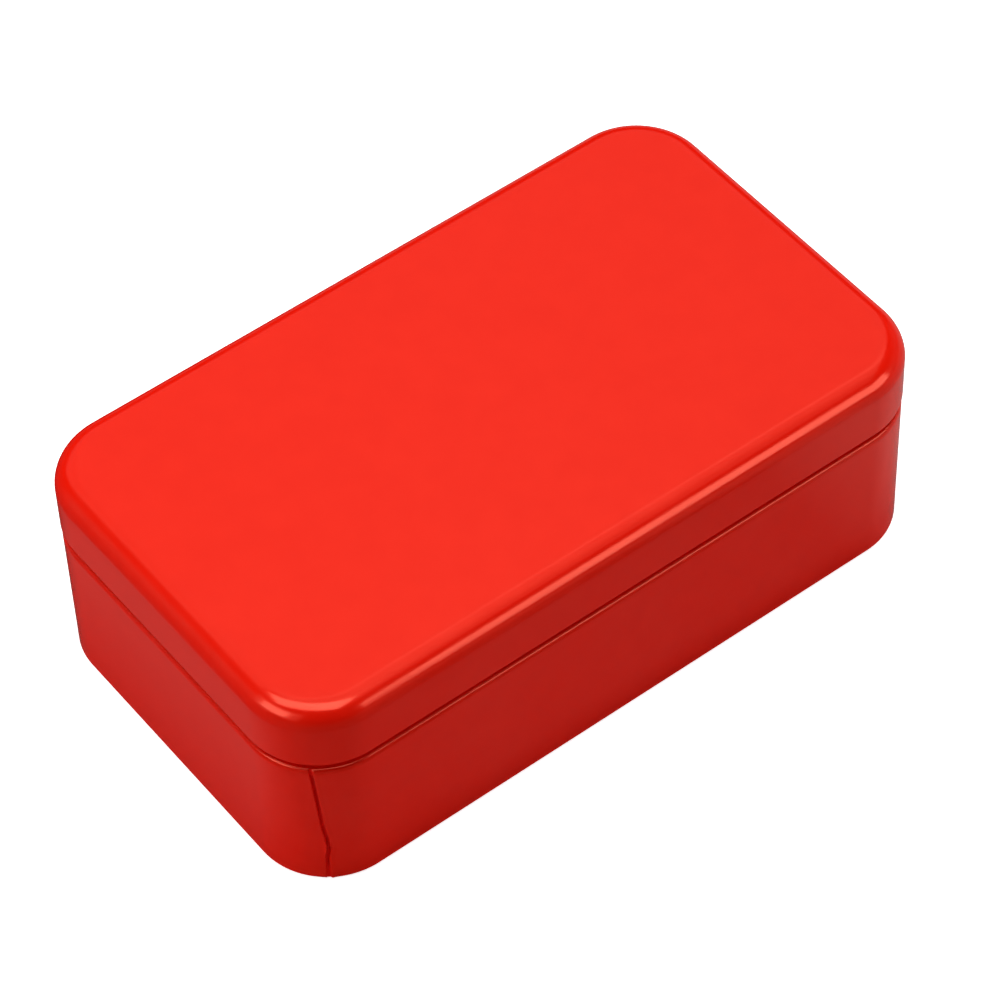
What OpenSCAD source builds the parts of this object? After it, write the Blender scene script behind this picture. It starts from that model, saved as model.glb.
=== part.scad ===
// Hinged card tin: a wrapped tinplate wall on a pressed base, under a drawn lid on two wire hinges.
// Millimetres. The tin stands on z = 0 with its long sides along X and its hinges at the back, +Y.
// The origin is at the middle of the bottom of the whole tin, hinge knuckles included.

/* [Tin] */
// Length of the lid, outside
tin_length = 120; // [100:1:160]
// Width of the lid, outside
tin_width = 70; // [55:1:110]
// Height from the foot to the top of the lid
tin_height = 39.2; // [30:0.1:70]
// Corner radius of the lid, seen from above
corner_radius = 12.4; // [9:0.1:18]
// Thickness of the tinplate
sheet = 0.3; // [0.25:0.05:0.4]

/* [Lid] */
// Height of the lid's skirt and its rounded edge
lid_height = 11.4; // [9:0.1:16]
// Outside radius of the lid's upper edge
lid_edge_radius = 3.8; // [2:0.1:5]
// Height of the hem folded up inside the lid's rim
lid_hem = 1.6; // [1:0.1:3]
// Distance that the lid stands proud of the wall, on each side
lid_overhang = 0.1; // [0.05:0.05:0.5]
// Gap between the lid's rim and the top of the wall's shoulder
lid_gap = 1.4; // [0.3:0.1:2.5]

/* [Wall] */
// Outside radius of the bend by which the wall turns in to its neck
shoulder_radius = 1.5; // [0.4:0.1:1.8]
// Height of the neck above the shoulder
neck_height = 5; // [3:0.5:6.5]
// Clearance between the neck and the lid's hem
neck_clearance = 0.5; // [0.4:0.05:0.9]
// Outside radius of the curl along the neck's edge
curl_radius = 0.8; // [0.6:0.1:1.2]
// Outside radius at the foot of the wall
foot_radius = 0.4; // [0.4:0.1:1]
// Width of the flange that is turned in under the base
flange_width = 2.5; // [1.5:0.1:4]

/* [Seam] */
// Width of the open line between the two ends of the wall
seam_gap = 0.5; // [0.3:0.05:0.8]
// Thickness left at the bottom of the open line, where the other end laps it
seam_web = 0.08; // [0.04:0.01:0.15]
// Angle from the corner's diagonal to the lower stretch of the seam
seam_turn = 8.6; // [0:0.1:15]
// Height of the knee, where the seam begins to lean
seam_knee = 8.5; // [3:0.5:12]
// Distance that the seam leans from the knee to the shoulder
seam_lean = 1.5; // [0:0.05:2]
// Width of the folded lock behind the seam
lock_width = 4; // [2.5:0.5:6]

/* [Base] */
// Clearance between the base and the wall
base_clearance = 0.03; // [0.02:0.01:0.1]
// Outside radius where the base turns up against the wall
base_bend = 0.8; // [0.6:0.1:1.2]
// Height of the base's turned-up edge above the flange
base_lip = 2.6; // [1.5:0.1:4]
// Width of the rim that rests on the flange
base_rim = 3.4; // [2:0.1:5]
// Height that the middle of the base is pressed up
base_rise = 0.8; // [0.4:0.1:1.5]

/* [Hinges] */
// Distance between the middles of the two hinges
hinge_spacing = 60; // [40:1:70]
// Length of the lid's knuckle
lid_knuckle = 10; // [6:0.5:14]
// Length of each of the wall's knuckles
wall_knuckle = 5; // [3:0.5:8]
// Play between the ends of neighbouring knuckles
knuckle_play = 0.25; // [0.15:0.05:0.5]
// Radius of the hinge wire
wire_radius = 0.5; // [0.4:0.05:0.8]
// Radial clearance of the wire in its knuckles
wire_clearance = 0.05; // [0.03:0.01:0.08]
// Height of the bend that carries the wall's knuckles outwards
joggle_height = 1.4; // [0.8:0.1:2]

/* [Hidden] */
$fn = 96;

red_lacquer = [0.88, 0.1, 0.05];
bare_tinplate = [0.78, 0.78, 0.77];
steel_wire = [0.6, 0.6, 0.62];

// Height of the lid's rim and of the wall's shoulder
rim_z = tin_height - lid_height;
shoulder_z = rim_z - lid_gap;
neck_z = shoulder_z + neck_height;

// Distances from a corner's axis to the faces that the sections are drawn from
wall_out = corner_radius - lid_overhang;
wall_in = wall_out - sheet;
neck_out = corner_radius - 2 * sheet - neck_clearance;
base_out = wall_in - base_clearance;
panel_out = base_out - base_rim - base_rise;

// Hinges: each roll of sheet is tangent to the lid's skirt, on the outside
bore_radius = wire_radius + wire_clearance;
knuckle_radius = bore_radius + sheet;
axis_y = tin_width / 2 - sheet + knuckle_radius;
axis_z = shoulder_z + lid_gap / 2;
hinge_width = lid_knuckle + 2 * (wall_knuckle + knuckle_play);
wall_notch_z = axis_z - knuckle_radius - knuckle_play;
lid_notch_z = axis_z + knuckle_radius + knuckle_play;
roll_gap_angle = 40;
hinge_reach = axis_y + knuckle_radius - tin_width / 2;
seam_depth = sheet - seam_web;
lock_thickness = 2 * sheet;
overlap = sheet / 3;

// ---- Shared shapes ----

// Puts the origin under the middle of the whole tin
module in_frame() {
    translate([0, -hinge_reach / 2, 0]) children();
}

// Sweeps a section round the tin. The section's x is the distance from a corner's axis.
module round_path() {
    half_x = tin_length / 2 - corner_radius;
    half_y = tin_width / 2 - corner_radius;
    corners = [[half_x, half_y], [-half_x, half_y], [-half_x, -half_y], [half_x, -half_y]];
    for (i = [0:3]) {
        translate(corners[i]) rotate(90 * i) rotate_extrude(angle = 90) children();
    }
    for (side = [[half_x, 2 * half_y, 0], [half_y, 2 * half_x, 90]]) {
        for (turn = [side[2], side[2] + 180]) {
            rotate(turn) translate([side[0], 0, 0])
                rotate([90, 0, 0]) linear_extrude(side[1], center = true) children();
        }
    }
}

// Flat rounded rectangle whose edge lies at one distance from the corners' axes
module plate(edge) {
    half_x = tin_length / 2 - corner_radius;
    half_y = tin_width / 2 - corner_radius;
    linear_extrude(sheet) {
        square([2 * (half_x + edge), 2 * half_y], center = true);
        square([2 * half_x, 2 * (half_y + edge)], center = true);
        for (x = [-half_x, half_x], y = [-half_y, half_y]) {
            translate([x, y]) circle(edge);
        }
    }
}

// Quarter of a bend in the sheet, from its own centre towards +x and +y
module quarter_bend(radius) {
    difference() {
        intersection() {
            circle(radius);
            square(radius);
        }
        circle(radius - sheet);
    }
}

// Block across one hinge, from the inside of the sheet to clear of the knuckles
module hinge_block(width, y_from, z_from, z_to) {
    depth = axis_y + 2 * knuckle_radius - y_from;
    translate([-width / 2, y_from, z_from]) cube([width, depth, z_to - z_from]);
}

// Section across a knuckle: the sheet comes down its inner side and rolls out round the wire
module roll_section() {
    difference() {
        circle(knuckle_radius);
        circle(bore_radius);
        polygon([
            [0, 0],
            [-2 * knuckle_radius, 0],
            [-2 * knuckle_radius, 2 * knuckle_radius * tan(roll_gap_angle)]
        ]);
    }
}

// Extrudes a section drawn in y and z along X, centred on a hinge
module along_hinge(width) {
    translate([-width / 2, axis_y, axis_z]) rotate([90, 0, 90]) linear_extrude(width) children();
}

module at_hinges() {
    for (x = [-hinge_spacing / 2, hinge_spacing / 2]) {
        translate([x, 0, 0]) children();
    }
}

// ---- Lid ----

module lid_section() {
    edge_z = tin_height - lid_edge_radius;
    translate([corner_radius - sheet, rim_z + sheet]) square([sheet, edge_z - rim_z - sheet]);
    translate([corner_radius - lid_edge_radius, edge_z]) quarter_bend(lid_edge_radius);
    translate([corner_radius - 2 * sheet, rim_z + sheet]) square([2 * sheet, lid_hem - sheet]);
    translate([corner_radius - sheet, rim_z + sheet]) circle(sheet);
}

module lid_knuckle() {
    tab_top = lid_notch_z - axis_z + overlap;
    along_hinge(lid_knuckle) {
        roll_section();
        translate([-knuckle_radius, 0]) square([sheet, tab_top]);
    }
}

module lid() {
    hem_top = rim_z + lid_hem + overlap;
    hem_y = tin_width / 2 - sheet;
    color(red_lacquer) in_frame() {
        difference() {
            union() {
                round_path() lid_section();
                translate([0, 0, tin_height - sheet]) plate(corner_radius - lid_edge_radius);
            }
            at_hinges() {
                hinge_block(hinge_width, hem_y - sheet - overlap, 0, lid_notch_z);
                translate([-hinge_width / 2, hem_y - sheet - overlap, 0])
                    cube([hinge_width, sheet + overlap, hem_top]);
            }
        }
        at_hinges() lid_knuckle();
    }
}

// ---- Wall ----

// Outline that the wall follows, drawn in by a distance from the wall's face
module wall_outline(inset) {
    bend_x = wall_out - shoulder_radius;
    bend_z = shoulder_z - shoulder_radius;
    foot_x = wall_out - foot_radius;
    translate([0, inset]) square([foot_x, foot_radius]);
    translate([foot_x, foot_radius]) circle(foot_radius - inset);
    translate([0, foot_radius]) square([wall_out - inset, bend_z - foot_radius]);
    translate([bend_x, bend_z]) circle(shoulder_radius - inset);
    translate([0, bend_z]) square([bend_x, shoulder_radius - inset]);
}

module wall_section() {
    curl_z = neck_z - curl_radius;
    difference() {
        union() {
            wall_outline(0);
            translate([0, sheet]) square([neck_out, curl_z - sheet]);
        }
        wall_outline(sheet);
        translate([0, sheet]) square([neck_out - sheet, curl_z]);
        square([wall_out - flange_width, foot_radius]);
    }
    translate([neck_out - curl_radius, curl_z]) curl_section();
}

// The neck's edge rolls inwards and three quarters of the way round
module curl_section() {
    difference() {
        circle(curl_radius);
        circle(curl_radius - sheet);
        translate([0, -curl_radius]) square(curl_radius);
    }
}

module wall_knuckles() {
    tab_foot = wall_notch_z - joggle_height - axis_z;
    tab_bend = wall_notch_z - axis_z;
    inner = -knuckle_radius;
    for (side = [-1, 1]) {
        translate([side * (hinge_width - wall_knuckle) / 2, 0, 0]) along_hinge(wall_knuckle) {
            mirror([0, 1]) roll_section();
            polygon([
                [inner - lid_overhang, tab_foot],
                [inner - lid_overhang + sheet, tab_foot],
                [inner + sheet, tab_bend],
                [inner + sheet, 0],
                [inner, 0],
                [inner, tab_bend],
                [inner - lid_overhang, tab_bend]
            ]);
        }
    }
}

// Puts a shape at the corner that the seam runs down, with x along the seam's radius
module at_seam() {
    translate([corner_radius - tin_length / 2, corner_radius - tin_width / 2, 0])
        rotate(225 + seam_turn) children();
}

// Stretch of the open line, cut to one depth over foot, face and shoulder
module seam_slit(z_from, z_to) {
    rotate([90, 0, 0]) linear_extrude(seam_gap, center = true) difference() {
        translate([neck_out, z_from]) square([lid_overhang + wall_out - neck_out, z_to - z_from]);
        wall_outline(seam_depth);
    }
}

// Open line of the seam: upright below the knee, leaning above it
module seam_line() {
    lean = atan(seam_lean / (shoulder_z - seam_knee));
    at_seam() {
        seam_slit(-overlap, seam_knee);
        translate([0, 0, seam_knee]) rotate([lean, 0, 0]) translate([0, 0, -seam_knee])
            seam_slit(seam_knee - seam_gap, shoulder_z + overlap);
    }
}

// Folded layers that hook the wall's two ends together on the inside
module seam_lock() {
    lock_angle = lock_width / wall_in * 180 / PI;
    lock_foot = sheet + base_lip + overlap;
    lock_top = shoulder_z - shoulder_radius;
    at_seam() rotate(-lock_angle / 2) rotate_extrude(angle = lock_angle)
        translate([wall_in - lock_thickness, lock_foot])
            square([lock_thickness + overlap, lock_top - lock_foot]);
}

module body_wall() {
    clear_y = axis_y - knuckle_radius - knuckle_play;
    color(red_lacquer) in_frame() {
        difference() {
            union() {
                round_path() wall_section();
                seam_lock();
            }
            at_hinges() hinge_block(hinge_width, clear_y, wall_notch_z, tin_height);
            seam_line();
        }
        at_hinges() wall_knuckles();
    }
}

// ---- Base ----

module base_section() {
    rim_edge = base_out - base_rim;
    translate([base_out - sheet, sheet + base_bend]) square([sheet, base_lip - base_bend]);
    translate([base_out - base_bend, sheet + base_bend]) mirror([0, 1]) quarter_bend(base_bend);
    translate([rim_edge, sheet]) square([base_rim - base_bend, sheet]);
    polygon([
        [rim_edge, sheet],
        [rim_edge, 2 * sheet],
        [panel_out, 2 * sheet + base_rise],
        [panel_out, sheet + base_rise]
    ]);
}

module base_panel() {
    color(bare_tinplate) in_frame() {
        round_path() base_section();
        translate([0, 0, sheet + base_rise]) plate(panel_out);
    }
}

// ---- Hinge wires ----

module hinge_wire(side) {
    color(steel_wire) in_frame() translate([side * hinge_spacing / 2, axis_y, axis_z])
        rotate([0, 90, 0]) cylinder(h = hinge_width, r = wire_radius, center = true);
}

module hinge_wire_left() {
    hinge_wire(-1);
}

module hinge_wire_right() {
    hinge_wire(1);
}

body_wall();
base_panel();
lid();
hinge_wire_left();
hinge_wire_right();
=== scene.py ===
"""Hinged card tin: red lacquered tinplate, bright inside, standing closed on a pale floor."""

import math

import bmesh
import bpy
from mathutils import Matrix, Vector


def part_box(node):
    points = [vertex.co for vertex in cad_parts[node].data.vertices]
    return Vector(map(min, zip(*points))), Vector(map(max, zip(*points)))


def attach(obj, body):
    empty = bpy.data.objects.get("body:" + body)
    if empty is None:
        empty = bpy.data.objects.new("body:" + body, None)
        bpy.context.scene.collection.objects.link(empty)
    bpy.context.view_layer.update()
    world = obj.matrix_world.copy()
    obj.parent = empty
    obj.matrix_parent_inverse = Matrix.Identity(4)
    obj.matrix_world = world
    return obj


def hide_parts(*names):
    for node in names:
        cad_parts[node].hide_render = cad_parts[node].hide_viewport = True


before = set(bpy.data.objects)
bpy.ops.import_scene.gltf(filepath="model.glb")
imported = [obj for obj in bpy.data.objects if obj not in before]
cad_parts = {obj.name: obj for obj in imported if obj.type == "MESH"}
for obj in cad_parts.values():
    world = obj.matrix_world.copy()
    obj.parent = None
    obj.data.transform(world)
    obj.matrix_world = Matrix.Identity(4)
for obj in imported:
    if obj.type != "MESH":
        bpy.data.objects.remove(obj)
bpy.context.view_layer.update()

# ---- Sizes, in millimetres, as a tin maker gives them ----

MM = 0.001
WIDTH = 70.0
CORNER_RADIUS = 12.4
SHEET = 0.3
LID_EDGE_RADIUS = 3.8
LID_HEM = 1.6
LID_HEIGHT = 11.4
LID_OVERHANG = 0.1
LID_GAP = 1.4
SHOULDER_LIFT = 0.1
SHOULDER_SWEEP = 2.2
SHOULDER_TURN = 22.0
SHOULDER_TIGHT = 0.55
NECK_HEIGHT = 5.0
NECK_CLEARANCE = 0.5
CURL_RADIUS = 0.8
FOOT_RADIUS = 0.4
FLANGE_WIDTH = 2.5
BASE_CLEARANCE = 0.03
BASE_BEND = 0.8
BASE_LIP = 2.6
BASE_RIM = 3.4
BASE_RISE = 0.8
HINGE_SPACING = 60.0
LID_KNUCKLE = 10.0
WALL_KNUCKLE = 5.0
KNUCKLE_PLAY = 0.25
WIRE_RADIUS = 0.5
WIRE_CLEARANCE = 0.05
JOGGLE_HEIGHT = 1.4
ROLL_GAP = 40.0

SEAM_ANGLE = 233.6
SEAM_KNEE = 8.5
SEAM_LEAN = 1.5
SEAM_DEPTH = 0.62
LOCK_WIDTH = 4.0
LOCK_THICKNESS = 0.6
PRESS_DEPTH = 0.7
PRESS_EASE = 0.5
LEAN_HALF_WIDTH = 2.5
LEAN_FADE = 6.5
FOLD_LEVEL = -0.05

# Steps, margins and tolerances of the meshes
CORNER_STEPS = 28
STATION_STEP = 3
STATION_CLEAR = 2
LOCK_STEP = 0.2
CAP_INSET = 1.0
CUT_FLOOR = 20
CUT_MARGIN = 0.1
NECK_MARGIN = 0.01
FLANGE_SPLIT = 0.6
CORNER_TOLERANCE = 1e-4
WELD = 0.0005

lid_low, lid_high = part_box("lid")
LENGTH = (lid_high.x - lid_low.x) / MM
HEIGHT = lid_high.z / MM
MIDDLE_Y = lid_low.y / MM + WIDTH / 2

HALF_X = LENGTH / 2 - CORNER_RADIUS
HALF_Y = WIDTH / 2 - CORNER_RADIUS
RIM_Z = HEIGHT - LID_HEIGHT
SHOULDER_Z = RIM_Z - LID_GAP + SHOULDER_LIFT
NECK_Z = RIM_Z - LID_GAP + NECK_HEIGHT
WALL_OUT = CORNER_RADIUS - LID_OVERHANG
WALL_IN = WALL_OUT - SHEET
NECK_OUT = CORNER_RADIUS - 2 * SHEET - NECK_CLEARANCE
BEND_STEP = SHOULDER_SWEEP - SHOULDER_TIGHT
TIGHT_X = WALL_OUT - SHOULDER_SWEEP + BEND_STEP * math.cos(math.radians(SHOULDER_TURN))
TIGHT_Z = SHOULDER_Z - SHOULDER_TIGHT
BEND_Z = TIGHT_Z - BEND_STEP * math.sin(math.radians(SHOULDER_TURN))
BASE_OUT = WALL_IN - BASE_CLEARANCE
BORE_RADIUS = WIRE_RADIUS + WIRE_CLEARANCE
KNUCKLE_RADIUS = BORE_RADIUS + SHEET
AXIS_Y = WIDTH / 2 - SHEET + KNUCKLE_RADIUS
AXIS_Z = RIM_Z - LID_GAP / 2
HINGE_WIDTH = LID_KNUCKLE + 2 * (WALL_KNUCKLE + KNUCKLE_PLAY)
WALL_NOTCH_Z = AXIS_Z - KNUCKLE_RADIUS - KNUCKLE_PLAY
LID_NOTCH_Z = AXIS_Z + KNUCKLE_RADIUS + KNUCKLE_PLAY

# Places of the materials on a piece of lacquered sheet
RED = 0
BARE = 1
# The seam's sunk faces: their darker lacquer is painted shade
FOLD_SHADE = 2


# ---- Sections of the sheet ----

def arc(x, z, radius, start, end, steps):
    """Points along an arc, in degrees, both ends included."""
    angles = [math.radians(start + (end - start) * i / steps) for i in range(steps + 1)]
    return [(x + radius * math.cos(a), z + radius * math.sin(a)) for a in angles]


def line(start, end, steps):
    """Points along a straight stretch, without its first."""
    share = [i / steps for i in range(1, steps + 1)]
    return [tuple(a + (b - a) * s for a, b in zip(start, end)) for s in share]


def lid_section():
    """Red side from the flat top down and round the hem, then the bare side back up."""
    edge_x = CORNER_RADIUS - LID_EDGE_RADIUS
    edge_z = HEIGHT - LID_EDGE_RADIUS
    red = arc(edge_x, edge_z, LID_EDGE_RADIUS, 90, 0, 18)
    red += line(red[-1], (CORNER_RADIUS, RIM_Z + SHEET), 4)
    red += arc(CORNER_RADIUS - SHEET, RIM_Z + SHEET, SHEET, 0, -180, 10)[1:]
    red += [(CORNER_RADIUS - 2 * SHEET, RIM_Z + LID_HEM)]
    bare = [(CORNER_RADIUS - SHEET, RIM_Z + LID_HEM)]
    bare += arc(edge_x, edge_z, LID_EDGE_RADIUS - SHEET, 0, 90, 12)
    return red, bare


def shoulder(inset):
    """The wall's bend in under the lid, slow at first and then tight, at a depth into the sheet."""
    slow = arc(WALL_OUT - SHOULDER_SWEEP, BEND_Z, SHOULDER_SWEEP - inset, 0, SHOULDER_TURN, 8)
    tight = arc(TIGHT_X, TIGHT_Z, SHOULDER_TIGHT - inset, SHOULDER_TURN, 90, 10)
    return slow + tight[1:]


def wall_section():
    """Red side from the flange up to the end of the curl, then the bare side back down."""
    foot_x = WALL_OUT - FOOT_RADIUS
    curl_x = NECK_OUT - CURL_RADIUS
    curl_z = NECK_Z - CURL_RADIUS
    red = [(WALL_OUT - FLANGE_WIDTH, 0)]
    red += arc(foot_x, FOOT_RADIUS, FOOT_RADIUS, -90, 0, 8)
    red += line(red[-1], (WALL_OUT, SEAM_KNEE), 12)
    red += line(red[-1], (WALL_OUT, BEND_Z), 20)
    red += shoulder(0)[1:] + [(NECK_OUT, SHOULDER_Z)]
    red += arc(curl_x, curl_z, CURL_RADIUS, 0, 270, 18)
    bare = arc(curl_x, curl_z, CURL_RADIUS - SHEET, 270, 0, 14)
    bare += [(NECK_OUT - SHEET, SHOULDER_Z - SHEET)] + shoulder(SHEET)[::-1]
    bare += line(bare[-1], (WALL_IN, FOOT_RADIUS), 8)
    bare += arc(foot_x, FOOT_RADIUS, FOOT_RADIUS - SHEET, 0, -90, 6)[1:]
    bare += [(WALL_OUT - FLANGE_WIDTH, SHEET)]
    return red, bare


def base_section():
    """Under side from the raised middle out to the lip, then the upper side back in."""
    rim_x = BASE_OUT - BASE_RIM
    bend_x = BASE_OUT - BASE_BEND
    bend_z = SHEET + BASE_BEND
    under = [(rim_x - BASE_RISE, SHEET + BASE_RISE), (rim_x, SHEET)]
    under += arc(bend_x, bend_z, BASE_BEND, -90, 0, 8)
    under += [(BASE_OUT, SHEET + BASE_LIP)]
    upper = [(BASE_OUT - SHEET, SHEET + BASE_LIP)]
    upper += arc(bend_x, bend_z, BASE_BEND - SHEET, 0, -90, 6)
    upper += [(rim_x, 2 * SHEET), (rim_x - BASE_RISE, 2 * SHEET + BASE_RISE)]
    return under, upper


# ---- Sweeping a section round the tin ----

def new_end(result):
    """The far edges of an extrusion."""
    verts = {v for v in result["geom"] if isinstance(v, bmesh.types.BMVert)}
    return [
        e for e in result["geom"]
        if isinstance(e, bmesh.types.BMEdge) and all(v in verts for v in e.verts)
    ]


def straight(bm, edges, run):
    """Extrudes the section's edges along one side."""
    end = new_end(bmesh.ops.extrude_edge_only(bm, edges=edges))
    verts = list({v for e in end for v in e.verts})
    bmesh.ops.translate(bm, verts=verts, vec=run)
    return end


def corner(bm, edges, centre, turns):
    """Spins the section's edges round a corner's axis, by each angle in turn."""
    for turn in turns:
        verts = list({v for e in edges for v in e.verts})
        result = bmesh.ops.spin(
            bm, geom=verts + edges, cent=centre, axis=(0, 0, 1),
            angle=math.radians(turn), steps=1, use_duplicate=False,
        )
        edges = [e for e in result["geom_last"] if isinstance(e, bmesh.types.BMEdge)]
    return edges


def sweep(bm, section, closed, seam_turns=None):
    """Carries a section round the four sides and corners, and joins it to its own start."""
    verts = [bm.verts.new((HALF_X + x, -HALF_Y, z)) for x, z in section]
    pairs = list(zip(verts, verts[1:]))
    if closed:
        pairs.append((verts[-1], verts[0]))
    edges = [bm.edges.new(pair) for pair in pairs]
    even = [90 / CORNER_STEPS] * CORNER_STEPS
    edges = straight(bm, edges, (0, 2 * HALF_Y, 0))
    edges = corner(bm, edges, (HALF_X, HALF_Y, 0), even)
    edges = straight(bm, edges, (-2 * HALF_X, 0, 0))
    edges = corner(bm, edges, (-HALF_X, HALF_Y, 0), even)
    edges = straight(bm, edges, (0, -2 * HALF_Y, 0))
    edges = corner(bm, edges, (-HALF_X, -HALF_Y, 0), seam_turns or even)
    edges = straight(bm, edges, (2 * HALF_X, 0, 0))
    corner(bm, edges, (HALF_X, -HALF_Y, 0), even)
    bmesh.ops.remove_doubles(bm, verts=bm.verts, dist=WELD)


def cap(bm, height, material):
    """Closes the open loop of edges at one height, with a ring of support inside it."""
    loop = [
        e for e in bm.edges
        if len(e.link_faces) == 1 and all(abs(v.co.z - height) < WELD for v in e.verts)
    ]
    face = bmesh.ops.contextual_create(bm, geom=loop)["faces"][0]
    face.material_index = material
    bmesh.ops.inset_region(bm, faces=[face], thickness=CAP_INSET, use_even_offset=True)


# ---- Finishing a mesh ----

def place(bm):
    """From the tin's own middle, in millimetres, to the frame, in metres."""
    bmesh.ops.translate(bm, verts=bm.verts, vec=(0, MIDDLE_Y, 0))
    bmesh.ops.scale(bm, verts=bm.verts, vec=(MM, MM, MM))


def piece(name, bm, materials):
    """A mesh object from a bmesh, with its materials."""
    bmesh.ops.recalc_face_normals(bm, faces=bm.faces)
    mesh = bpy.data.meshes.new(name)
    bm.to_mesh(mesh)
    bm.free()
    for material in materials:
        mesh.materials.append(material)
    obj = bpy.data.objects.new(name, mesh)
    bpy.context.scene.collection.objects.link(obj)
    return obj


def box_mesh(low, high, material):
    """Closed block between two corners."""
    bm = bmesh.new()
    bmesh.ops.create_cube(bm, size=1)
    bmesh.ops.scale(bm, verts=bm.verts, vec=[b - a for a, b in zip(low, high)])
    bmesh.ops.translate(bm, verts=bm.verts, vec=[(a + b) / 2 for a, b in zip(low, high)])
    for face in bm.faces:
        face.material_index = material
    return bm


def extruded(section, x_from, x_to, material):
    """Closed bar of a section in y and z, drawn from the hinge's axis, along x."""
    bm = bmesh.new()
    verts = [bm.verts.new((x_from, AXIS_Y + y, AXIS_Z + z)) for y, z in section]
    face = bm.faces.new(verts)
    face.material_index = material
    end = bmesh.ops.extrude_face_region(bm, geom=[face])
    moved = [v for v in end["geom"] if isinstance(v, bmesh.types.BMVert)]
    bmesh.ops.translate(bm, verts=moved, vec=(x_to - x_from, 0, 0))
    return bm


def carve(obj, bm, operation):
    """Joins or cuts a closed mesh into a piece."""
    place(bm)
    tool = piece("tool", bm, obj.data.materials)
    step = obj.modifiers.new("carve", "BOOLEAN")
    step.operation = operation
    step.object = tool
    step.solver = "EXACT"
    bpy.context.view_layer.update()
    shown = obj.evaluated_get(bpy.context.evaluated_depsgraph_get())
    mesh = bpy.data.meshes.new_from_object(shown)
    obj.modifiers.clear()
    old = obj.data
    obj.data = mesh
    bpy.data.meshes.remove(old)
    bpy.data.objects.remove(tool)


def smooth(obj, fold_angle=35):
    """Smooth shading, sharp at folds, with flat faces kept flat."""
    obj.data.shade_smooth()
    obj.data.set_sharp_from_angle(angle=math.radians(fold_angle))
    step = obj.modifiers.new("even_shading", "WEIGHTED_NORMAL")
    step.keep_sharp = True
    step.weight = 50


# ---- Materials ----

def new_material(name):
    """A material with one Principled BSDF, and object coordinates to read."""
    material = bpy.data.materials.new(name)
    material.use_nodes = True
    tree = material.node_tree
    tree.nodes.clear()
    output = tree.nodes.new("ShaderNodeOutputMaterial")
    shader = tree.nodes.new("ShaderNodeBsdfPrincipled")
    tree.links.new(shader.outputs["BSDF"], output.inputs["Surface"])
    coordinates = tree.nodes.new("ShaderNodeTexCoord")
    return material, tree, shader, coordinates.outputs["Object"]


def noise(tree, position, scale, detail=2.0, stretch=None):
    """Noise over the piece, in features per metre, stretched along an axis if asked."""
    if stretch:
        mapping = tree.nodes.new("ShaderNodeMapping")
        mapping.inputs["Scale"].default_value = stretch
        tree.links.new(position, mapping.inputs["Vector"])
        position = mapping.outputs["Vector"]
    made = tree.nodes.new("ShaderNodeTexNoise")
    made.inputs["Scale"].default_value = scale
    made.inputs["Detail"].default_value = detail
    tree.links.new(position, made.inputs["Vector"])
    return made.outputs["Fac"]


def spread(tree, value, low, high, out_low, out_high):
    """Maps a range of a value to another range."""
    made = tree.nodes.new("ShaderNodeMapRange")
    made.inputs["From Min"].default_value = low
    made.inputs["From Max"].default_value = high
    made.inputs["To Min"].default_value = out_low
    made.inputs["To Max"].default_value = out_high
    tree.links.new(value, made.inputs["Value"])
    return made.outputs["Result"]


def blend_colours(tree, share, first, second):
    made = tree.nodes.new("ShaderNodeMix")
    made.data_type = "RGBA"
    made.inputs[6].default_value = (*first, 1)
    made.inputs[7].default_value = (*second, 1)
    tree.links.new(share, made.inputs["Factor"])
    return made.outputs[2]


def maths(tree, operation, first, second):
    made = tree.nodes.new("ShaderNodeMath")
    made.operation = operation
    tree.links.new(first, made.inputs[0])
    tree.links.new(second, made.inputs[1])
    return made.outputs["Value"]


def bump(tree, height, distance, strength):
    made = tree.nodes.new("ShaderNodeBump")
    made.inputs["Distance"].default_value = distance
    made.inputs["Strength"].default_value = strength
    tree.links.new(height, made.inputs["Height"])
    return made.outputs["Normal"]


def new_group(name, inputs, output):
    """A shader node group with its sockets: the group, its inputs and where its result goes."""
    group = bpy.data.node_groups.new(name, "ShaderNodeTree")
    for label, kind in inputs:
        group.interface.new_socket(label, in_out="INPUT", socket_type=kind)
    group.interface.new_socket(output, in_out="OUTPUT", socket_type="NodeSocketFloat")
    given = group.nodes.new("NodeGroupInput").outputs
    result = group.nodes.new("NodeGroupOutput").inputs[output]
    return group, given, result


def use_group(tree, group, position, **values):
    """Places a group in a material with its own values."""
    made = tree.nodes.new("ShaderNodeGroup")
    made.node_tree = group
    tree.links.new(position, made.inputs["Position"])
    for label, value in values.items():
        made.inputs[label].default_value = value
    return made.outputs[0]


def drift_group():
    """A value that drifts smoothly over the piece, between two levels."""
    sockets = [("Position", "NodeSocketVector")]
    sockets += [(label, "NodeSocketFloat") for label in ("Scale", "Low", "High")]
    group, given, result = new_group("drift", sockets, "Value")
    clouds = noise(group, given["Position"], 1, 3)
    group.links.new(given["Scale"], clouds.node.inputs["Scale"])
    level = spread(group, clouds, 0.2, 0.8, 0, 1)
    level.node.interpolation_type = "SMOOTHSTEP"
    group.links.new(given["Low"], level.node.inputs["To Min"])
    group.links.new(given["High"], level.node.inputs["To Max"])
    group.links.new(level, result)
    return group


def streak_group():
    """Fine streaks along the piece, as rolling and drawing leave on metal."""
    sockets = [
        ("Position", "NodeSocketVector"),
        ("Scale", "NodeSocketFloat"),
        ("Stretch", "NodeSocketVector"),
    ]
    group, given, result = new_group("streaks", sockets, "Height")
    lines = noise(group, given["Position"], 1, 3, stretch=(1, 1, 1))
    mapping = lines.node.inputs["Vector"].links[0].from_node
    group.links.new(given["Stretch"], mapping.inputs["Scale"])
    group.links.new(given["Scale"], lines.node.inputs["Scale"])
    group.links.new(lines, result)
    return group


DRIFT = drift_group()
STREAKS = streak_group()


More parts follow.
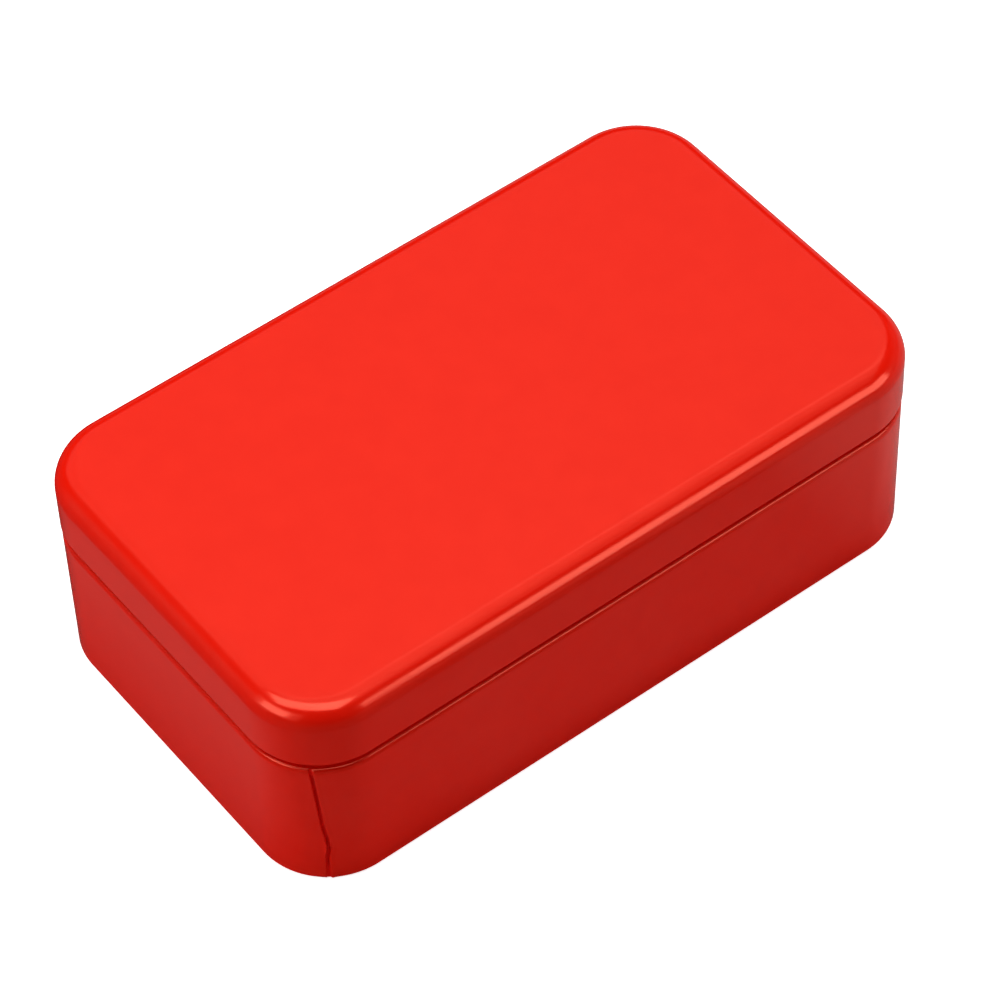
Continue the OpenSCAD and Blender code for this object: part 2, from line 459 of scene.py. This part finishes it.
def red_lacquer():
    """Red stoving lacquer over bright metal, with a fine orange peel in its gloss."""
    material, tree, shader, position = new_material("red_lacquer")
    mottle = use_group(tree, DRIFT, position, Scale=220, Low=0, High=1)
    colour = blend_colours(tree, mottle, (0.87, 0.0080, 0.0016), (0.89, 0.0095, 0.0021))
    tree.links.new(colour, shader.inputs["Base Color"])
    gloss = use_group(tree, DRIFT, position, Scale=90, Low=0.15, High=0.21)
    tree.links.new(gloss, shader.inputs["Roughness"])
    peel = bump(tree, noise(tree, position, 1600, 2), 0.00002, 0.1)
    tree.links.new(peel, shader.inputs["Normal"])
    shader.inputs["Metallic"].default_value = 0.1
    shader.inputs["IOR"].default_value = 1.45
    shader.inputs["Specular Tint"].default_value = (1, 0.95, 0.62, 1)
    return material


def fold_lacquer_painted_shade():
    """The same lacquer inside the seam's open line, duller, and painted darker as the shade in the
    groove.
    """
    material, tree, shader, position = new_material("fold_lacquer_painted_shade")
    # Painted shade: both reds are darker than the red lacquer's, for the shade in the groove; they
    # vary at random
    shade_mottle = use_group(tree, DRIFT, position, Scale=1500, Low=0, High=1)
    colour = blend_colours(tree, shade_mottle, (0.72, 0.0035, 0.0009), (0.86, 0.0050, 0.0013))
    tree.links.new(colour, shader.inputs["Base Color"])
    dullness = use_group(tree, DRIFT, position, Scale=900, Low=0.45, High=0.65)
    tree.links.new(dullness, shader.inputs["Roughness"])
    shader.inputs["Specular IOR Level"].default_value = 0.02
    return material


def bare_tinplate():
    """Bright tinplate under clear lacquer, with the rolling mill's fine streaks."""
    material, tree, shader, position = new_material("bare_tinplate")
    streaks = use_group(tree, STREAKS, position, Scale=1400, Stretch=(0.02, 1, 1))
    colour = blend_colours(tree, streaks, (0.60, 0.60, 0.59), (0.78, 0.78, 0.765))
    tree.links.new(colour, shader.inputs["Base Color"])
    gloss = use_group(tree, DRIFT, position, Scale=60, Low=0.30, High=0.36)
    tree.links.new(gloss, shader.inputs["Roughness"])
    tree.links.new(bump(tree, streaks, 0.00001, 0.15), shader.inputs["Normal"])
    shader.inputs["Metallic"].default_value = 1
    return material


def steel_wire():
    """Plain drawn wire, a little dull."""
    material, tree, shader, position = new_material("steel_wire")
    stain = use_group(tree, DRIFT, position, Scale=700, Low=0, High=1)
    colour = blend_colours(tree, stain, (0.42, 0.42, 0.43), (0.58, 0.58, 0.59))
    tree.links.new(colour, shader.inputs["Base Color"])
    drawn = use_group(tree, STREAKS, position, Scale=4000, Stretch=(0.03, 1, 1))
    tree.links.new(bump(tree, drawn, 0.00001, 0.5), shader.inputs["Normal"])
    shader.inputs["Metallic"].default_value = 1
    shader.inputs["Roughness"].default_value = 0.35
    return material


RED_LACQUER = red_lacquer()
FOLD_LACQUER_PAINTED_SHADE = fold_lacquer_painted_shade()
BARE_TINPLATE = bare_tinplate()
STEEL_WIRE = steel_wire()


# ---- Lid ----

def hinge_places():
    return (-HINGE_SPACING / 2, HINGE_SPACING / 2)


def roll(side):
    """Outline of a rolled knuckle, from its tab round the wire. side is 1 up, -1 down."""
    gap_end = 180 - ROLL_GAP
    outer = arc(0, 0, KNUCKLE_RADIUS, 180, 360 + gap_end, 40)
    inner = arc(0, 0, BORE_RADIUS, 360 + gap_end, 180, 32)
    return [(y, z * side) for y, z in outer + inner]


def lid_shell():
    red, bare = lid_section()
    bm = bmesh.new()
    sweep(bm, red + bare, closed=False)
    for face in bm.faces:
        face.material_index = material_of(face, lid_is_red)
    cap(bm, HEIGHT, RED)
    cap(bm, HEIGHT - SHEET, BARE)
    place(bm)
    lid = piece("lid_shell", bm, [RED_LACQUER, BARE_TINPLATE])
    inside = WIDTH / 2 - SHEET
    within = inside - SHEET - CUT_MARGIN
    beyond = AXIS_Y + 2 * KNUCKLE_RADIUS
    hem_top = RIM_Z + LID_HEM + CUT_MARGIN
    for x in hinge_places():
        left, right = x - HINGE_WIDTH / 2, x + HINGE_WIDTH / 2
        notch = box_mesh((left, within, CUT_FLOOR), (right, beyond, LID_NOTCH_Z), BARE)
        carve(lid, notch, "DIFFERENCE")
        hem = box_mesh((left, within, CUT_FLOOR), (right, inside, hem_top), BARE)
        carve(lid, hem, "DIFFERENCE")
        tab = roll(1)
        top = LID_NOTCH_Z - AXIS_Z + CUT_MARGIN
        tab = [(-KNUCKLE_RADIUS, top)] + tab + [(-BORE_RADIUS, top)]
        carve(lid, extruded(tab, x - LID_KNUCKLE / 2, x + LID_KNUCKLE / 2, RED), "UNION")
    return lid


def material_of(face, is_red):
    """Red or bare, by where the middle of the face lies in the section."""
    middle = face.calc_center_median()
    x = abs(middle.x) - HALF_X
    y = abs(middle.y) - HALF_Y
    out = math.hypot(max(x, 0), max(y, 0))
    return RED if is_red(out, middle.z) else BARE


def lid_is_red(out, z):
    edge_z = HEIGHT - LID_EDGE_RADIUS
    if z > edge_z:
        edge = math.hypot(out - CORNER_RADIUS + LID_EDGE_RADIUS, z - edge_z)
        return edge > LID_EDGE_RADIUS - SHEET / 2
    if z < RIM_Z + LID_HEM:
        return True
    return out > CORNER_RADIUS - SHEET / 2


# ---- Wall ----

# The seam's outline across the sheet: place along the corner, and how far the face stands out.
# The two ends face each other over the open line, and the right end is a rounded fold.
SEAM_OUTLINE = (
    (-2.4, 0), (-1.2, 0), (-0.62, 0.02), (-0.42, 0.04), (-0.3, 0), (-0.25, -0.2),
    (-0.22, -SEAM_DEPTH), (0.2, -SEAM_DEPTH),
    (0.24, -0.2), (0.3, 0.02), (0.42, 0.1), (0.62, 0.12), (0.9, 0.06), (1.3, 0.02), (2.4, 0),
)

# The open line's path: height, and how far it has moved along the corner.
SEAM_PATH = (
    (0, -0.15), (5.5, -0.12), (7.2, 0.2), (9, 0.15), (11, -0.12), (13, -0.42),
    (17, -0.7), (21, -1.0), (24.7, -1.32), (SHOULDER_Z, -SEAM_LEAN),
)


# How deep the open line may be, by height: less than a sheet at the foot and the shoulder,
# and all layers between.
SEAM_ROOM = (
    (0, 0.04), (FOOT_RADIUS, 0.1), (1.5, 0.24),
    (BASE_LIP + 3 * SHEET, 0.24), (BASE_LIP + 4 * SHEET, SEAM_DEPTH),
    (BEND_Z - 0.1, SEAM_DEPTH), (BEND_Z, 0.24), (SHOULDER_Z, 0.1),
)

# Where the left fold is sprung a little out of the wall, at the knee: by height, and across it.
SEAM_SPRUNG = ((5.6, 0), (6.8, 0.2), (9, 0.2), (10.4, 0))
SPRUNG_OUTLINE = ((-0.75, 0), (-0.42, 1), (-0.3, 1), (-0.25, 0))


def along_path(path, at):
    """Value of a path of points at one place, with its ends carried on."""
    if at <= path[0][0]:
        return path[0][1]
    for (a, low), (b, high) in zip(path, path[1:]):
        if at <= b:
            return low + (high - low) * (at - a) / (b - a)
    return path[-1][1]


def seam_turns():
    """Angles between the stations round the seam's corner, in order."""
    middle = SEAM_ANGLE - 180
    at = [middle + math.degrees(t / WALL_OUT) for t, _ in SEAM_OUTLINE]
    lock = [
        middle + math.degrees(side * (LOCK_WIDTH / 2 + edge) / WALL_OUT)
        for side in (-1, 1) for edge in (-LOCK_STEP, LOCK_STEP)
    ]
    near = [
        a for a in range(STATION_STEP, 90, STATION_STEP)
        if not at[0] - STATION_CLEAR < a < at[-1] + STATION_CLEAR
    ]
    stations = sorted([0, 90] + at + [a for a in lock if a < at[0] or a > at[-1]] + near)
    return [b - a for a, b in zip(stations, stations[1:])]


def seam_offset(along, z):
    """How far the face stands out at a place along the corner."""
    out = along_path(SEAM_OUTLINE, along)
    out += along_path(SEAM_SPRUNG, z) * along_path(SPRUNG_OUTLINE, along)
    return max(out, -along_path(SEAM_ROOM, z))


def form_seam(bm):
    """Presses the seam's outline into the swept wall and leans it above its knee."""
    axis = Vector((-HALF_X, -HALF_Y, 0))
    for face in bm.faces:
        middle = face.calc_center_median() - axis
        turn = math.atan2(middle.y, middle.x) % (2 * math.pi)
        along = (turn - math.radians(SEAM_ANGLE)) * WALL_OUT
        sunk = along_path(SEAM_OUTLINE, along) < FOLD_LEVEL
        # The sunk faces of the open line take the darker lacquer, as painted shade in the groove
        if sunk and middle.z < SHOULDER_Z and face.material_index == RED:
            face.material_index = FOLD_SHADE
    for v in bm.verts:
        flat = Vector((v.co.x, v.co.y, 0)) - axis
        if flat.x > CORNER_TOLERANCE or flat.y > CORNER_TOLERANCE:
            continue
        radius = flat.length
        angle = math.atan2(flat.y, flat.x) % (2 * math.pi)
        along = (angle - math.radians(SEAM_ANGLE)) * WALL_OUT
        z = v.co.z
        if z < SHOULDER_Z and radius > WALL_OUT - PRESS_DEPTH:
            depth = min(1, max(0, (radius - WALL_OUT + PRESS_DEPTH) / PRESS_EASE))
            if wall_is_red(radius, z):
                radius += seam_offset(along, z) * depth
            elif abs(along) < LOCK_WIDTH / 2 and z > BASE_LIP + SHEET:
                radius -= LOCK_THICKNESS
        fade = max(0, 1 - max(0, abs(along) - LEAN_HALF_WIDTH) / LEAN_FADE)
        angle += along_path(SEAM_PATH, z) * fade / WALL_OUT
        v.co.x = axis.x + radius * math.cos(angle)
        v.co.y = axis.y + radius * math.sin(angle)


def wall_is_red(out, z):
    if z > BEND_Z and out < NECK_OUT + NECK_MARGIN:
        curl = math.hypot(out - NECK_OUT + CURL_RADIUS, z - NECK_Z + CURL_RADIUS)
        if z > NECK_Z - CURL_RADIUS or out < NECK_OUT - CURL_RADIUS:
            return curl > CURL_RADIUS - SHEET / 2
        return out > NECK_OUT - SHEET / 2
    if z > TIGHT_Z and out < TIGHT_X:
        return z > SHOULDER_Z - SHEET / 2
    if z > TIGHT_Z:
        return math.hypot(out - TIGHT_X, z - TIGHT_Z) > SHOULDER_TIGHT - SHEET / 2
    if z > BEND_Z:
        return math.hypot(out - WALL_OUT + SHOULDER_SWEEP, z - BEND_Z) > SHOULDER_SWEEP - SHEET / 2
    if z < FOOT_RADIUS:
        if out < WALL_OUT - FOOT_RADIUS:
            return z < SHEET * FLANGE_SPLIT
        return math.hypot(out - WALL_OUT + FOOT_RADIUS, z - FOOT_RADIUS) > FOOT_RADIUS - SHEET / 2
    return out > WALL_OUT - SHEET / 2


def wall_shell():
    red, bare = wall_section()
    bm = bmesh.new()
    sweep(bm, red + bare, closed=True, seam_turns=seam_turns())
    for face in bm.faces:
        face.material_index = material_of(face, wall_is_red)
    form_seam(bm)
    place(bm)
    wall = piece("wall_shell", bm, [RED_LACQUER, BARE_TINPLATE, FOLD_LACQUER_PAINTED_SHADE])
    beyond = AXIS_Y + 2 * KNUCKLE_RADIUS
    clear_y = AXIS_Y - KNUCKLE_RADIUS - KNUCKLE_PLAY
    for x in hinge_places():
        left, right = x - HINGE_WIDTH / 2, x + HINGE_WIDTH / 2
        notch = box_mesh((left, clear_y, WALL_NOTCH_Z), (right, beyond, HEIGHT), BARE)
        carve(wall, notch, "DIFFERENCE")
        for ends in ((left, left + WALL_KNUCKLE), (right - WALL_KNUCKLE, right)):
            carve(wall, extruded(wall_knuckle_section(), *ends, RED), "UNION")
    return wall


def wall_knuckle_section():
    """The tab leaves the wall's face, bends outwards and rolls over the wire."""
    inner = -KNUCKLE_RADIUS
    foot = WALL_NOTCH_Z - JOGGLE_HEIGHT - AXIS_Z
    bend = WALL_NOTCH_Z - AXIS_Z
    tab = [
        (inner + SHEET, bend),
        (inner - LID_OVERHANG + SHEET, foot),
        (inner - LID_OVERHANG, foot),
        (inner - LID_OVERHANG, bend),
        (inner, bend),
    ]
    return roll(-1) + tab


# ---- Base ----

def base_tray():
    under, upper = base_section()
    bm = bmesh.new()
    sweep(bm, under + upper, closed=False)
    cap(bm, SHEET + BASE_RISE, material=0)
    cap(bm, 2 * SHEET + BASE_RISE, material=0)
    place(bm)
    return piece("base_tray", bm, [BARE_TINPLATE])


# ---- The tin ----

lid = lid_shell()
smooth(lid)
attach(lid, "lid")
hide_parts("lid")

wall = wall_shell()
smooth(wall)
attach(wall, "body")
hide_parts("body_wall")

base = base_tray()
smooth(base)
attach(base, "body")
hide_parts("base_panel")

for name in ("hinge_wire_left", "hinge_wire_right"):
    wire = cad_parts[name]
    wire.data.materials.clear()
    wire.data.materials.append(STEEL_WIRE)


# ---- Floor, light and camera ----

def from_tin(tree, position):
    """Distance over the floor from the tin's foot."""
    steps = (
        ("ADD", (0, -MIDDLE_Y * MM, 0)),
        ("ABSOLUTE", None),
        ("SUBTRACT", (HALF_X * MM, HALF_Y * MM, 0)),
        ("MAXIMUM", (0, 0, 0)),
    )
    value = position
    for operation, by in steps:
        made = tree.nodes.new("ShaderNodeVectorMath")
        made.operation = operation
        tree.links.new(value, made.inputs[0])
        if by:
            made.inputs[1].default_value = by
        value = made.outputs["Vector"]
    length = tree.nodes.new("ShaderNodeVectorMath")
    length.operation = "LENGTH"
    tree.links.new(value, length.inputs[0])
    return spread(tree, length.outputs["Value"], WALL_OUT * MM, 1 + WALL_OUT * MM, 0, 1)


def floor():
    """Pale floor, white to the eye. To the tin it is dark, with painted reflections and a painted
    glow of bounce light.
    """
    bm = bmesh.new()
    bmesh.ops.create_grid(bm, x_segments=1, y_segments=1, size=6)
    made = piece("floor", bm, [])
    material, tree, shader, position = new_material("pale_floor_painted_light")
    shader.inputs["Roughness"].default_value = 0.9
    shader.inputs["Specular IOR Level"].default_value = 0
    path = tree.nodes.new("ShaderNodeLightPath")
    to_eye = path.outputs["Is Camera Ray"]
    to_matt = path.outputs["Is Diffuse Ray"]
    to_shine = path.outputs["Is Glossy Ray"]
    # The floor's colour by ray: 0.95 to the camera, 0.85 to matt light, nearly black in reflections
    # (a painted dark reflection)
    thrown = blend_colours(tree, to_matt, (0.02, 0.02, 0.02), (0.85, 0.85, 0.85))
    colour = blend_colours(tree, to_eye, (0, 0, 0), (0.95, 0.95, 0.95))
    tree.links.new(thrown, colour.node.inputs[6])
    tree.links.new(colour, shader.inputs["Base Color"])
    split = tree.nodes.new("ShaderNodeSeparateXYZ")
    tree.links.new(position, split.inputs[0])
    x, y = split.outputs["X"], split.outputs["Y"]
    distance = from_tin(tree, position)
    far = spread(tree, distance, 0.0, 0.5, 0.75, 1)
    near = spread(tree, distance, 0.023, 0.038, 1, 0)
    # Painted reflections: pools of light on the floor, seen only in the tin's reflections, left and
    # front of the foot and to the right
    left = maths(
        tree, "MULTIPLY",
        spread(tree, x, -0.055, -0.07, 0, 0.13), spread(tree, y, -0.04, -0.015, 0, 1),
    )
    front = maths(
        tree, "MULTIPLY",
        spread(tree, x, -0.05, -0.02, 0.03, 0.08), spread(tree, y, -0.035, -0.04, 0, 1),
    )
    painted_reflection_near = maths(tree, "MULTIPLY", near, maths(tree, "ADD", left, front))
    painted_reflection_right = spread(tree, x, 0.045, 0.07, 0, 0.25)
    # shine: the painted reflections, for reflection rays only
    shine = maths(tree, "MULTIPLY", maths(tree, "ADD", painted_reflection_near, painted_reflection_right), to_shine)
    glow = maths(tree, "MULTIPLY", far, to_eye)
    glow = maths(tree, "ADD", glow, shine)
    # Painted bounce light: the floor glows on the tin's matt colour within 40 mm of its foot
    matt = maths(tree, "MULTIPLY", spread(tree, distance, 0.0, 0.04, 0.2, 0), to_matt)
    glow = maths(tree, "ADD", glow, matt)
    shader.inputs["Emission Color"].default_value = (1, 1, 1, 1)
    tree.links.new(glow, shader.inputs["Emission Strength"])
    made.data.materials.append(material)


def direction(azimuth, elevation):
    """Unit vector, with azimuth from +X towards +Y."""
    turn, rise = math.radians(azimuth), math.radians(elevation)
    level = math.cos(rise)
    return Vector((math.cos(turn) * level, math.sin(turn) * level, math.sin(rise)))


def softbox(name, towards, distance, size, level=None, shine=0, glow=0):
    """A rectangular light aimed at the tin: its radiance in reflections, and on matt colour."""
    middle = towards * distance + Vector((0, 0, HEIGHT * MM))
    right = Vector(level or (-towards.y, towards.x, 0)).normalized()
    up = towards.cross(right).normalized()
    turn = Matrix((up.cross(towards), up, towards)).transposed()
    for kind, radiance in (("shine", shine), ("glow", glow)):
        if not radiance:
            continue
        lamp = bpy.data.lights.new(f"{name}_{kind}", "AREA")
        lamp.shape = "RECTANGLE"
        lamp.size, lamp.size_y = size
        lamp.energy = math.pi * size[0] * size[1] * radiance
        obj = bpy.data.objects.new(lamp.name, lamp)
        bpy.context.scene.collection.objects.link(obj)
        obj.matrix_world = Matrix.Translation(middle) @ turn.to_4x4()
        obj.visible_diffuse = kind == "glow"
        obj.visible_glossy = kind == "shine"


def world_light(shine, glow):
    """Dim round the lights, and plain white where the camera sees past the floor."""
    world = bpy.data.worlds.new("studio")
    world.use_nodes = True
    tree = world.node_tree
    background = tree.nodes["Background"]
    background.inputs["Color"].default_value = (1, 1, 1, 1)
    path = tree.nodes.new("ShaderNodeLightPath")
    thrown = spread(tree, path.outputs["Is Diffuse Ray"], 0, 1, shine, glow)
    shown = spread(tree, path.outputs["Is Camera Ray"], 0, 1, shine, 1)
    tree.links.new(thrown, shown.node.inputs["To Min"])
    tree.links.new(shown, background.inputs["Strength"])
    bpy.context.scene.world = world


def photo_camera():
    """The photograph's camera: where it stands, how it is turned, and its focal length."""
    azimuth, elevation, tilt = map(math.radians, (-36.048, 49.853, -2.214))
    target = Vector((9.331, 9.400 + MIDDLE_Y, 0)) * MM
    distance = 687.256 * MM
    back = Vector((
        math.sin(azimuth) * math.cos(elevation),
        -math.cos(azimuth) * math.cos(elevation),
        math.sin(elevation),
    ))
    focal_pixels, photo_pixels = 4338.969, 1001
    data = bpy.data.cameras.new("photo_camera")
    data.sensor_width = 36
    data.lens = focal_pixels / photo_pixels * data.sensor_width
    data.clip_start = 0.05
    camera = bpy.data.objects.new("photo_camera", data)
    bpy.context.scene.collection.objects.link(camera)
    right = Vector((-back.y, back.x, 0)).normalized()
    up = back.cross(right)
    turned_right = math.cos(tilt) * right + math.sin(tilt) * up
    turned_up = -math.sin(tilt) * right + math.cos(tilt) * up
    turn = Matrix((turned_right, turned_up, back)).transposed()
    camera.matrix_world = Matrix.Translation(target + back * distance) @ turn.to_4x4()
    bpy.context.scene.camera = camera


floor()
softbox("overhead", direction(210, 74.5), 1.038, (1.12, 0.55), direction(308, 0), shine=3.8)
softbox("ceiling", direction(345, 76), 1.2, (1.2, 1.1), shine=0.5)
softbox("left", direction(181, 24), 1.0, (0.55, 0.42), shine=3.2)
softbox("left_soft", direction(183, 25), 0.99, (0.95, 0.6), shine=0.6)
softbox("front_right", direction(305.5, 20), 1.0, (0.62, 0.44), shine=3.6)
softbox("back", direction(68, 47), 1.3, (1.9, 1.0), shine=0.6)
softbox("main", direction(27, 72), 2.0, (1.6, 1.6), glow=4.1)
softbox("back_left", direction(148, 60), 0.42, (0.3, 0.3), glow=2.2)
softbox("left_fill", direction(154, 12), 1.0, (0.8, 0.4), glow=3.1)
softbox("right_fill", direction(352, 11), 1.0, (1.0, 0.4), glow=2.5)
softbox("front_fill", direction(318, 12), 1.0, (0.6, 0.4), glow=1.25)
softbox("room", direction(262, 30), 1.0, (0.8, 0.5), glow=0.22)
world_light(0.0, 0.03)
photo_camera()
bpy.context.scene.view_settings.view_transform = "Standard"
